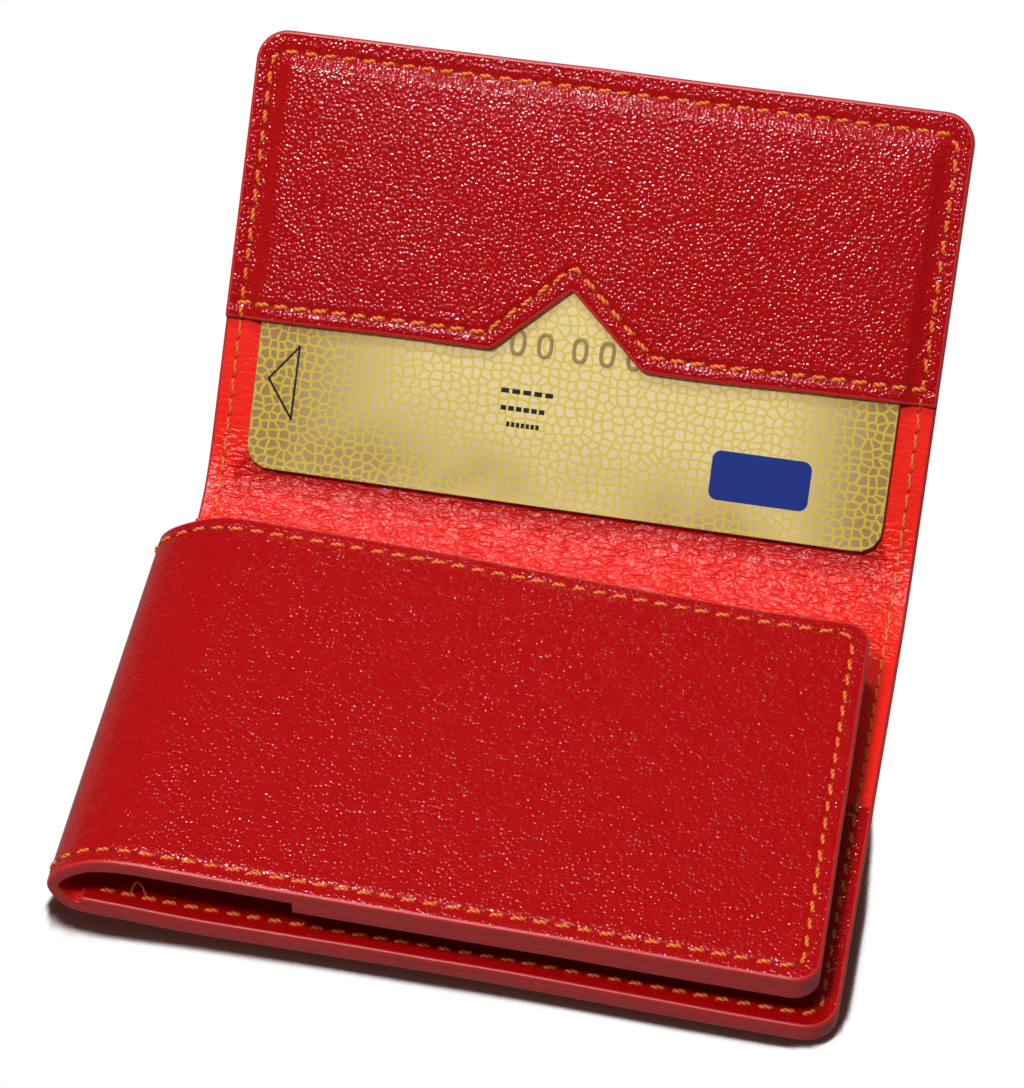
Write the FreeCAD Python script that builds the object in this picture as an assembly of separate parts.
import FreeCAD, Part
import math
import os

# Folding leather card holder, modelled half open on a table.
# Frame, millimetres: X right, Y towards the spine (back), Z up.
# Origin: centre of the lower cover's underside, which rests on Z = 0.
#
# The leather body is one L-shaped sheet, cut here at its fold lines into five
# panels: lower cover, spine, upper cover, side strip and flap. Every fold line
# lies on the lining surface of its two panels. The spine and the upper cover are
# built flat, outer leather down, with Y = 0 on their lower fold line, then turned.

os.makedirs("parts", exist_ok=True)

V = FreeCAD.Vector
X_AXIS, Y_AXIS = V(1, 0, 0), V(0, 1, 0)

# ---------------------------------------------------------------- dimensions
WIDTH = 95.4            # both covers and the spine
COVER = 61.3            # lower and upper cover, edge to fold line
SPINE = 12.3            # between the two spine fold lines
CORNER_R = 4.2          # outer corners
HALF_W = WIDTH / 2.0
Y_FRONT = -COVER / 2.0
Y_FOLD = COVER / 2.0

OUTER_T = 0.95          # outer leather
BOARD_T = 0.35          # stiffener board
LINING_T = 0.50
BOARD_TOP = OUTER_T + BOARD_T
PANEL_T = BOARD_TOP + LINING_T
FOLD_OUTER_T = 1.20     # outer leather without a board (spine, side strip)

FOLD_GAP = 0.15         # each panel stops this far short of its fold line
LOWER_BEND = 13.5       # bend at the lower cover's fold line, degrees
UPPER_BEND = 38.2       # bend at the upper cover's fold line, degrees

# The board lies in a bay in the outer leather.
BOARD_GAP = 0.1         # board to bay wall
BAY_R = 2.1
BOARD_R = BAY_R - BOARD_GAP
BAY_RIM = 3.1           # bay wall to a free edge
BAY_FOLD_RIM = 1.1      # bay wall to a spine fold line

SEAM = 2.1              # seam line to edge
SEAM_TOP = 2.8          # seam line to the upper cover's top edge
SEAM_X = HALF_W - SEAM
SEAM_R = CORNER_R - SEAM
SEAM_SHORT = 0.4        # seams stop this far short of a mouth or the flap's back edge
THREAD_W, THREAD_T = 0.50, 0.25
THREAD_SINK = 0.03      # thread below a face that looks down or left
GROOVE_W = 0.60
GROOVE_OVER = 0.5       # groove cutter beyond the leather's face

# Card pockets, heights above the lining
POCKET_RIM_T = 0.90     # at the sewn rim
POCKET_RAISE = 1.85     # over the card
CAVITY = 1.00           # free height inside
POCKET_LINING_T = 0.15  # thin fabric inside
SHOULDER = 0.9          # raised panel beyond the cavity
END_RIM = 3.8           # sewn rim opposite the mouth
CAVITY_HALF_W = 43.2
UPPER_MOUTH = COVER - 38.5
LOWER_MOUTH = Y_FRONT + 35.9
LOWER_POCKET_X = -45.2  # left end of the lower pocket, clear of the side fold
LOWER_CAVITY_X = -42.9
LOWER_SEAM_X = -44.5

# V notch in each card pocket's mouth
NOTCH_LEFT, NOTCH_APEX, NOTCH_RIGHT = -11.6, -1.7, 9.1
NOTCH_DEPTH = 9.5
NOTCH_R = 0.8

CARD_W, CARD_H, CARD_T, CARD_R = 85.60, 53.98, 0.76, 3.18
CARD_BOTTOM = 2.9       # card's lower edge above the upper fold line
CARD_CLEAR = 0.05       # under the card
CHIP_W, CHIP_H, CHIP_T, CHIP_R = 12.6, 11.4, 0.20, 1.6
CHIP_LEFT, CHIP_DROP = 9.0, 18.8        # from the card's left and top edges
STRIPE_H, STRIPE_DROP = 10.3, 5.5
SIGN_W, SIGN_H = 60.0, 8.5
SIGN_LEFT, SIGN_DROP = 7.0, 18.5
PRINT_T = 0.05          # magnetic stripe and signature panel

SIDE_X = -48.1          # both side fold lines
SIDE_EDGE_X = SIDE_X + FOLD_GAP

FLAP_FRONT = Y_FRONT
FLAP_BACK = 29.8        # back edge at the fold
FLAP_BACK_FREE = 28.6   # back edge at the free end: the flap narrows a little
FLAP_X_FRONT, FLAP_X_BACK = 45.1, 43.9  # free end
FLAP_SLOPE = 0.85       # flap leans down to its free end, degrees
FLAP_TOP = 11.3         # outer surface at the fold
FLAP_UNDER = FLAP_TOP - PANEL_T
FLAP_BAY_LEFT, FLAP_BAY_RIGHT = 3.5, 3.2
LOWER_BAY_LEFT = 3.3

FLAP_POCKET_X = -18.4   # mouth
FLAP_POCKET_T = 1.6
FLAP_CAVITY = 1.0
FLAP_CAVITY_END_X = 41.0
FLAP_CAVITY_FRONT, FLAP_CAVITY_BACK = 2.6, 2.5      # cavity in from the flap's edges
FLAP_POCKET_SEAM_X, FLAP_POCKET_SEAM_Y = 2.6, 1.6   # seam in from the flap's edges
FLAP_MOUTH_SEAM_Y = 3.2     # ends of the mouth seam in from the flap's edges

# Placements: shift, then pivot, axis and angle of the turn
LOWER_FOLD = V(0, Y_FOLD, PANEL_T)
UPPER_FOLD = V(0, Y_FOLD + SPINE * math.cos(math.radians(LOWER_BEND)),
               PANEL_T + SPINE * math.sin(math.radians(LOWER_BEND)))
TO_SPINE = (V(0, Y_FOLD, 0), LOWER_FOLD, X_AXIS, LOWER_BEND)
TO_UPPER = (UPPER_FOLD.sub(V(0, 0, PANEL_T)), UPPER_FOLD, X_AXIS, LOWER_BEND + UPPER_BEND)
TO_FLAP = (V(0, 0, 0), V(SIDE_X, 0, FLAP_UNDER), Y_AXIS, FLAP_SLOPE)


# ------------------------------------------------------------------- helpers
def prism(points, z0, z1):
    corners = [V(x, y, z0) for x, y in points]
    wire = Part.makePolygon(corners + corners[:1])
    return Part.Face(wire).extrude(V(0, 0, z1 - z0))


def box(x0, x1, y0, y1, z0, z1):
    return Part.makeBox(x1 - x0, y1 - y0, z1 - z0, V(x0, y0, z0))


def outline(points, radii, z0, z1):
    """Prism on a closed outline, with a true arc at each corner whose radius is not zero."""
    count = len(points)
    corners = [V(x, y, z0) for x, y in points]
    starts, ends, arcs = [], [], []
    for i, (corner, radius) in enumerate(zip(corners, radii)):
        if radius <= 0:
            starts.append(corner)
            ends.append(corner)
            arcs.append(None)
            continue
        back = corners[i - 1].sub(corner).normalize()
        ahead = corners[(i + 1) % count].sub(corner).normalize()
        half = math.acos(max(-1.0, min(1.0, back.dot(ahead)))) / 2.0
        tangent = radius / math.tan(half)
        start = corner.add(V(back).multiply(tangent))
        end = corner.add(V(ahead).multiply(tangent))
        bisector = back.add(ahead).normalize()
        middle = corner.add(V(bisector).multiply(radius / math.sin(half) - radius))
        starts.append(start)
        ends.append(end)
        arcs.append(Part.Arc(start, middle, end).toShape())
    edges = []
    for i in range(count):
        if arcs[i] is not None:
            edges.append(arcs[i])
        edges.append(Part.makeLine(ends[i], starts[(i + 1) % count]))
    return Part.Face(Part.Wire(edges)).extrude(V(0, 0, z1 - z0))


def ribbon(path, width, z0, z1):
    """A strip of the given width that follows an open path, with mitred corners."""
    headings = []
    for (xa, ya), (xb, yb) in zip(path, path[1:]):
        length = math.hypot(xb - xa, yb - ya)
        headings.append(((xb - xa) / length, (yb - ya) / length))
    left, right = [], []
    for i, (x, y) in enumerate(path):
        beside = headings[max(i - 1, 0):i + 1]
        along_x = sum(heading[0] for heading in beside)
        along_y = sum(heading[1] for heading in beside)
        length = math.hypot(along_x, along_y)
        along_x, along_y = along_x / length, along_y / length
        # the mitre widens the strip at a corner; 0.3 limits how far
        cosine = abs(along_x * beside[0][0] + along_y * beside[0][1])
        reach = width / 2 / max(0.3, cosine)
        left.append((x - along_y * reach, y + along_x * reach))
        right.append((x + along_y * reach, y - along_x * reach))
    return prism(left + right[::-1], z0, z1)


def seam_turn(x, y, angle0, angle1, steps=5):
    """Points of a seam round an outer corner with its centre at x, y."""
    angles = [math.radians(angle0 + (angle1 - angle0) * i / steps) for i in range(steps + 1)]
    return [(x + SEAM_R * math.cos(a), y + SEAM_R * math.sin(a)) for a in angles]


def sew_up(leather, path, top):
    """Groove a face that looks up, at height top; return the leather and its thread."""
    bottom = top - THREAD_T
    leather = leather.cut(ribbon(path, GROOVE_W, bottom, top + GROOVE_OVER))
    return leather, ribbon(path, THREAD_W, bottom, top)


def sew_down(leather, path, face):
    """Groove a face that looks down, at height face; return the leather and its thread."""
    bottom = face + THREAD_SINK
    top = bottom + THREAD_T
    leather = leather.cut(ribbon(path, GROOVE_W, face - GROOVE_OVER, top))
    return leather, ribbon(path, THREAD_W, bottom, top)


def inset(corners, left, right, front, back, gap=0.0):
    """Move four corners inwards; they run front left, front right, back right, back left."""
    shifts = [(left + gap, front + gap), (-right - gap, front + gap),
              (-right - gap, -back - gap), (left + gap, -back - gap)]
    return [(x + dx, y + dy) for (x, y), (dx, dy) in zip(corners, shifts)]


def save(name, shapes, placement=None):
    if not isinstance(shapes, list):
        shapes = [shapes]
    solids = []
    for shape in shapes:
        for solid in shape.Solids:
            solid = solid.copy()
            if placement:
                shift, pivot, axis, angle = placement
                solid.translate(shift)
                solid.rotate(pivot, axis, angle)
            solids.append(solid)
    piece = solids[0] if len(solids) == 1 else Part.makeCompound(solids)
    if not piece.isValid():
        raise RuntimeError(name + " is not valid")
    piece.exportStep("parts/" + name + ".step")


# -------------------------------------------------------------- card pockets
def mouth_seam(x0, x1, y_mouth, inward):
    """Seam line parallel to the mouth edge, round the V notch."""
    left_angle = math.atan2(NOTCH_DEPTH, NOTCH_APEX - NOTCH_LEFT)
    right_angle = math.atan2(NOTCH_DEPTH, NOTCH_RIGHT - NOTCH_APEX)
    apex_half = math.pi / 2 - (left_angle + right_angle) / 2
    y_seam = y_mouth + inward * SEAM
    y_apex = y_mouth + inward * (NOTCH_DEPTH + SEAM / math.sin(apex_half))
    return [(x0, y_seam),
            (NOTCH_LEFT - SEAM * math.tan(left_angle / 2), y_seam),
            (NOTCH_APEX, y_apex),
            (NOTCH_RIGHT + SEAM * math.tan(right_angle / 2), y_seam),
            (x1, y_seam)]


def card_pocket(x0, cavity_x0, y_mouth, y_end, left_r, inward, rim_seam):
    """Pocket on a panel's lining: sewn rim, raised panel, V notch in the mouth.

    inward is the Y direction from the mouth into the pocket, +1 or -1.
    Returns the leather, its fabric lining, the rim thread and the mouth thread.
    """
    cavity_x1 = CAVITY_HALF_W
    y_rim = y_end - inward * END_RIM
    points = [(x0, y_mouth), (NOTCH_LEFT, y_mouth), (NOTCH_APEX, y_mouth + inward * NOTCH_DEPTH),
              (NOTCH_RIGHT, y_mouth), (HALF_W, y_mouth), (HALF_W, y_end), (x0, y_end)]
    radii = [0, 0, NOTCH_R, 0, 0, CORNER_R, left_r]
    if inward < 0:
        # keeps the outline anticlockwise
        points = points[:1] + points[:0:-1]
        radii = radii[:1] + radii[:0:-1]

    rim = outline(points, radii, PANEL_T, PANEL_T + POCKET_RIM_T)
    y0, y1 = sorted((y_mouth, y_rim + inward * SHOULDER))
    raised = outline(points, radii, PANEL_T, PANEL_T + POCKET_RAISE).common(
        box(cavity_x0 - SHOULDER, cavity_x1 + SHOULDER, y0, y1, PANEL_T, PANEL_T + POCKET_RAISE))
    y0, y1 = sorted((y_mouth - inward * 5, y_rim))
    cavity = box(cavity_x0, cavity_x1, y0, y1, PANEL_T - 1, PANEL_T + CAVITY)
    leather = rim.fuse(raised).cut(cavity).removeSplitter()

    # the fabric is let into the underside of the leather, clear of the cavity's edges
    y0, y1 = sorted((y_mouth + inward * 0.6, y_rim - inward * 0.4))
    fabric_z = PANEL_T + CAVITY
    fabric = outline(points, radii, fabric_z, fabric_z + POCKET_LINING_T).common(
        box(cavity_x0 + 0.4, cavity_x1 - 0.4, y0, y1, PANEL_T, PANEL_T + 5))
    leather = leather.cut(fabric)

    leather, rim_thread = sew_up(leather, rim_seam, PANEL_T + POCKET_RIM_T)
    path = mouth_seam(cavity_x0 + 0.2, cavity_x1 - 0.2, y_mouth, inward)
    leather, mouth_thread = sew_up(leather, path, PANEL_T + POCKET_RAISE)
    return leather, fabric, rim_thread, mouth_thread


# -------------------------------------------------------------------- panels
def lower_cover():
    y_back = Y_FOLD - FOLD_GAP
    # the tab at the left reaches the side fold
    points = [(SIDE_EDGE_X, Y_FRONT), (HALF_W, Y_FRONT), (HALF_W, y_back),
              (-HALF_W, y_back), (-HALF_W, FLAP_BACK), (SIDE_EDGE_X, FLAP_BACK)]
    radii = [0, CORNER_R, 0, 0, 0, 0]
    corners = [(-HALF_W, Y_FRONT), (HALF_W, Y_FRONT), (HALF_W, Y_FOLD), (-HALF_W, Y_FOLD)]
    margins = (LOWER_BAY_LEFT, BAY_RIM, BAY_RIM, BAY_FOLD_RIM)

    outer = outline(points, radii, 0, OUTER_T)
    lining = outline(points, radii, BOARD_TOP, PANEL_T)
    board = outline(inset(corners, *margins, gap=BOARD_GAP), [0, BOARD_R, 0, 0],
                    OUTER_T, BOARD_TOP)
    # the outer leather's rim fills the edge round the board
    rim = outline(points, radii, OUTER_T, BOARD_TOP).cut(
        outline(inset(corners, *margins), [0, BAY_R, 0, 0], OUTER_T - 1, BOARD_TOP + 1))
    outer = outer.fuse(rim).removeSplitter()

    y_seam = Y_FRONT + SEAM
    turn = seam_turn(HALF_W - CORNER_R, Y_FRONT + CORNER_R, -90, 0)
    threads = []
    for path in ([(SIDE_EDGE_X, y_seam)] + turn + [(SEAM_X, y_back)],
                 [(-SEAM_X, FLAP_BACK + SEAM_SHORT), (-SEAM_X, y_back)]):
        outer, thread = sew_down(outer, path, 0)
        threads.append(thread)
    for x in (-SEAM_X, SEAM_X):
        path = [(x, LOWER_MOUTH + SEAM_SHORT), (x, y_back)]
        lining, thread = sew_up(lining, path, PANEL_T)
        threads.append(thread)

    y_seam_end = LOWER_MOUTH - SEAM_SHORT
    rim_seam = ([(LOWER_SEAM_X, y_seam_end), (LOWER_SEAM_X, y_seam)] + turn
                + [(SEAM_X, y_seam_end)])
    pocket, fabric, rim_thread, mouth_thread = card_pocket(
        x0=LOWER_POCKET_X, cavity_x0=LOWER_CAVITY_X, y_mouth=LOWER_MOUTH, y_end=Y_FRONT,
        left_r=0, inward=-1, rim_seam=rim_seam)

    save("outer_leather_lower", outer)
    save("stiffener_lower", board)
    save("lining_lower", lining)
    save("lower_pocket_leather", pocket)
    save("lower_pocket_lining", fabric)
    save("thread_lower_perimeter", threads + [rim_thread])
    save("thread_lower_pocket_mouth", mouth_thread)


def spine():
    y0, y1 = FOLD_GAP, SPINE - FOLD_GAP
    outer = box(-HALF_W, HALF_W, y0, y1, 0, FOLD_OUTER_T)
    lining = box(-HALF_W, HALF_W, y0, y1, FOLD_OUTER_T, PANEL_T)
    threads = []
    for x in (-SEAM_X, SEAM_X):
        path = [(x, y0), (x, y1)]
        lining, inner_thread = sew_up(lining, path, PANEL_T)
        outer, outer_thread = sew_down(outer, path, 0)
        threads += [inner_thread, outer_thread]
    save("outer_leather_spine", outer, TO_SPINE)
    save("lining_spine", lining, TO_SPINE)
    save("thread_spine_edges", threads, TO_SPINE)


def upper_cover():
    points = [(-HALF_W, FOLD_GAP), (HALF_W, FOLD_GAP), (HALF_W, COVER), (-HALF_W, COVER)]
    radii = [0, 0, CORNER_R, CORNER_R]
    corners = [(-HALF_W, 0), (HALF_W, 0), (HALF_W, COVER), (-HALF_W, COVER)]
    margins = (BAY_RIM, BAY_RIM, BAY_FOLD_RIM, BAY_RIM)

    outer = outline(points, radii, 0, BOARD_TOP).cut(
        outline(inset(corners, *margins), [0, 0, BAY_R, BAY_R], OUTER_T, PANEL_T + 1))
    board = outline(inset(corners, *margins, gap=BOARD_GAP), [0, 0, BOARD_R, BOARD_R],
                    OUTER_T, BOARD_TOP)
    lining = outline(points, radii, BOARD_TOP, PANEL_T)

    y_turn = COVER - SEAM_TOP - SEAM_R
    top_seam = (seam_turn(-HALF_W + CORNER_R, y_turn, 180, 90)
                + seam_turn(HALF_W - CORNER_R, y_turn, 90, 0))
    path = [(-SEAM_X, FOLD_GAP)] + top_seam + [(SEAM_X, FOLD_GAP)]
    outer, thread = sew_down(outer, path, 0)
    threads = [thread]
    for x in (-SEAM_X, SEAM_X):
        path = [(x, FOLD_GAP), (x, UPPER_MOUTH - SEAM_SHORT)]
        lining, thread = sew_up(lining, path, PANEL_T)
        threads.append(thread)

    y_seam_end = UPPER_MOUTH + SEAM_SHORT
    rim_seam = [(-SEAM_X, y_seam_end)] + top_seam + [(SEAM_X, y_seam_end)]
    pocket, fabric, rim_thread, mouth_thread = card_pocket(
        x0=-HALF_W, cavity_x0=-CAVITY_HALF_W, y_mouth=UPPER_MOUTH, y_end=COVER,
        left_r=CORNER_R, inward=1, rim_seam=rim_seam)

    save("outer_leather_upper", outer, TO_UPPER)
    save("stiffener_upper", board, TO_UPPER)
    save("lining_upper", lining, TO_UPPER)
    save("upper_pocket_leather", pocket, TO_UPPER)
    save("upper_pocket_lining", fabric, TO_UPPER)
    save("thread_upper_perimeter", threads + [rim_thread], TO_UPPER)
    save("thread_upper_pocket_mouth", mouth_thread, TO_UPPER)


def bank_card():
    """Card in the upper pocket, chip away from the lining, stripe against it."""
    left, right = -CARD_W / 2, CARD_W / 2
    bottom, top = CARD_BOTTOM, CARD_BOTTOM + CARD_H
    under = PANEL_T + CARD_CLEAR
    face = under + CARD_T

    def rounded(x0, x1, y0, y1, radius, z0):
        return outline([(x0, y0), (x1, y0), (x1, y1), (x0, y1)], [radius] * 4, z0, face)

    card = rounded(left, right, bottom, top, CARD_R, under)
    chip_x, chip_y = left + CHIP_LEFT, top - CHIP_DROP
    chip = rounded(chip_x, chip_x + CHIP_W, chip_y - CHIP_H, chip_y, CHIP_R, face - CHIP_T)
    stripe_y = top - STRIPE_DROP
    stripe = box(left, right, stripe_y - STRIPE_H, stripe_y, under, under + PRINT_T)
    sign_x, sign_y = left + SIGN_LEFT, top - SIGN_DROP
    signature = box(sign_x, sign_x + SIGN_W, sign_y - SIGN_H, sign_y, under, under + PRINT_T)
    for inlay in (chip, stripe, signature):
        card = card.cut(inlay)
    save("card_body", card, TO_UPPER)
    save("card_chip_contacts", chip, TO_UPPER)
    save("card_magnetic_stripe", stripe, TO_UPPER)
    save("card_signature_panel", signature, TO_UPPER)


def side_strip():
    """Upright strip that joins the lower cover to the flap along the left edge."""
    z0, z1 = PANEL_T + FOLD_GAP, FLAP_UNDER - FOLD_GAP
    x_outer = SIDE_X - PANEL_T
    x_between = x_outer + FOLD_OUTER_T
    outer = box(x_outer, x_between, FLAP_FRONT, FLAP_BACK, z0, z1)
    lining = box(x_between, SIDE_X, FLAP_FRONT, FLAP_BACK, z0, z1)

    def upright(x0, x1, y, width):
        return box(x0, x1, y - width / 2, y + width / 2, z0, z1)

    thread_x0 = x_outer + THREAD_SINK
    thread_x1 = thread_x0 + THREAD_T
    inner_x = SIDE_X - THREAD_T
    threads = []
    for y in (FLAP_FRONT + SEAM, FLAP_BACK - SEAM):
        outer = outer.cut(upright(x_outer - GROOVE_OVER, thread_x1, y, GROOVE_W))
        lining = lining.cut(upright(inner_x, SIDE_X + GROOVE_OVER, y, GROOVE_W))
        threads += [upright(thread_x0, thread_x1, y, THREAD_W),
                    upright(inner_x, SIDE_X, y, THREAD_W)]
    save("outer_leather_side", outer)
    save("lining_side", lining)
    save("thread_side_edges", threads)


def flap():
    """Flap over the lower cover, with a pocket underneath, open towards the side fold."""
    points = [(SIDE_EDGE_X, FLAP_FRONT), (FLAP_X_FRONT, FLAP_FRONT),
              (FLAP_X_BACK, FLAP_BACK_FREE), (SIDE_EDGE_X, FLAP_BACK)]
    radii = [0, CORNER_R, CORNER_R, 0]
    margins = (FLAP_BAY_LEFT, FLAP_BAY_RIGHT, BAY_RIM, BAY_RIM)
    board_z0, board_z1 = FLAP_TOP - BOARD_TOP, FLAP_TOP - OUTER_T

    outer = outline(points, radii, board_z0, FLAP_TOP).cut(
        outline(inset(points, *margins), [0, BAY_R, BAY_R, 0], board_z0 - 1, board_z1))
    board = outline(inset(points, *margins, gap=BOARD_GAP), [0, BOARD_R, BOARD_R, 0],
                    board_z0, board_z1)
    lining = outline(points, radii, FLAP_UNDER, board_z0)

    path = ([(SIDE_EDGE_X, FLAP_FRONT + SEAM)]
            + seam_turn(FLAP_X_FRONT - CORNER_R, FLAP_FRONT + CORNER_R, -90, 0)
            + seam_turn(FLAP_X_BACK - CORNER_R, FLAP_BACK_FREE - CORNER_R, 0, 90)
            + [(SIDE_EDGE_X, FLAP_BACK - SEAM)])
    outer, thread = sew_up(outer, path, FLAP_TOP)
    threads = [thread]

    # front and back seams on the lining, from the fold to the pocket
    back_slant = (FLAP_BACK_FREE - FLAP_BACK) / (FLAP_X_BACK - SIDE_EDGE_X)
    x_end = FLAP_POCKET_X - SEAM_SHORT
    for y, slant in ((FLAP_FRONT + SEAM, 0.0), (FLAP_BACK - SEAM, back_slant)):
        path = [(SIDE_EDGE_X, y), (x_end, y + slant * (x_end - SIDE_EDGE_X))]
        lining, thread = sew_down(lining, path, FLAP_UNDER)
        threads.append(thread)

    pocket_z = FLAP_UNDER - FLAP_POCKET_T
    pocket_back = FLAP_BACK + back_slant * (FLAP_POCKET_X - SIDE_EDGE_X)
    pocket = outline([(FLAP_POCKET_X, FLAP_FRONT)] + points[1:3] + [(FLAP_POCKET_X, pocket_back)],
                     radii, pocket_z, FLAP_UNDER)
    pocket = pocket.cut(box(FLAP_POCKET_X - 5, FLAP_CAVITY_END_X,
                            FLAP_FRONT + FLAP_CAVITY_FRONT, FLAP_BACK_FREE - FLAP_CAVITY_BACK,
                            FLAP_UNDER - FLAP_CAVITY, FLAP_UNDER + 1))
    x_start = FLAP_POCKET_X + SEAM_SHORT
    y_front = FLAP_FRONT + FLAP_POCKET_SEAM_Y
    path = [(x_start, y_front),
            (FLAP_X_FRONT - FLAP_POCKET_SEAM_X, y_front),
            (FLAP_X_BACK - FLAP_POCKET_SEAM_X, FLAP_BACK_FREE - FLAP_POCKET_SEAM_Y),
            (x_start, pocket_back - FLAP_POCKET_SEAM_Y)]
    pocket, thread = sew_down(pocket, path, pocket_z)
    threads.append(thread)
    path = [(FLAP_POCKET_X + SEAM, FLAP_FRONT + FLAP_MOUTH_SEAM_Y),
            (FLAP_POCKET_X + SEAM, FLAP_BACK_FREE - FLAP_MOUTH_SEAM_Y)]
    pocket, mouth_thread = sew_down(pocket, path, pocket_z)

    save("outer_leather_flap", outer, TO_FLAP)
    save("stiffener_flap", board, TO_FLAP)
    save("lining_flap", lining, TO_FLAP)
    save("flap_pocket_leather", pocket, TO_FLAP)
    save("thread_flap_perimeter", threads, TO_FLAP)
    save("thread_flap_pocket_mouth", mouth_thread, TO_FLAP)


lower_cover()
spine()
upper_cover()
bank_card()
side_strip()
flap()
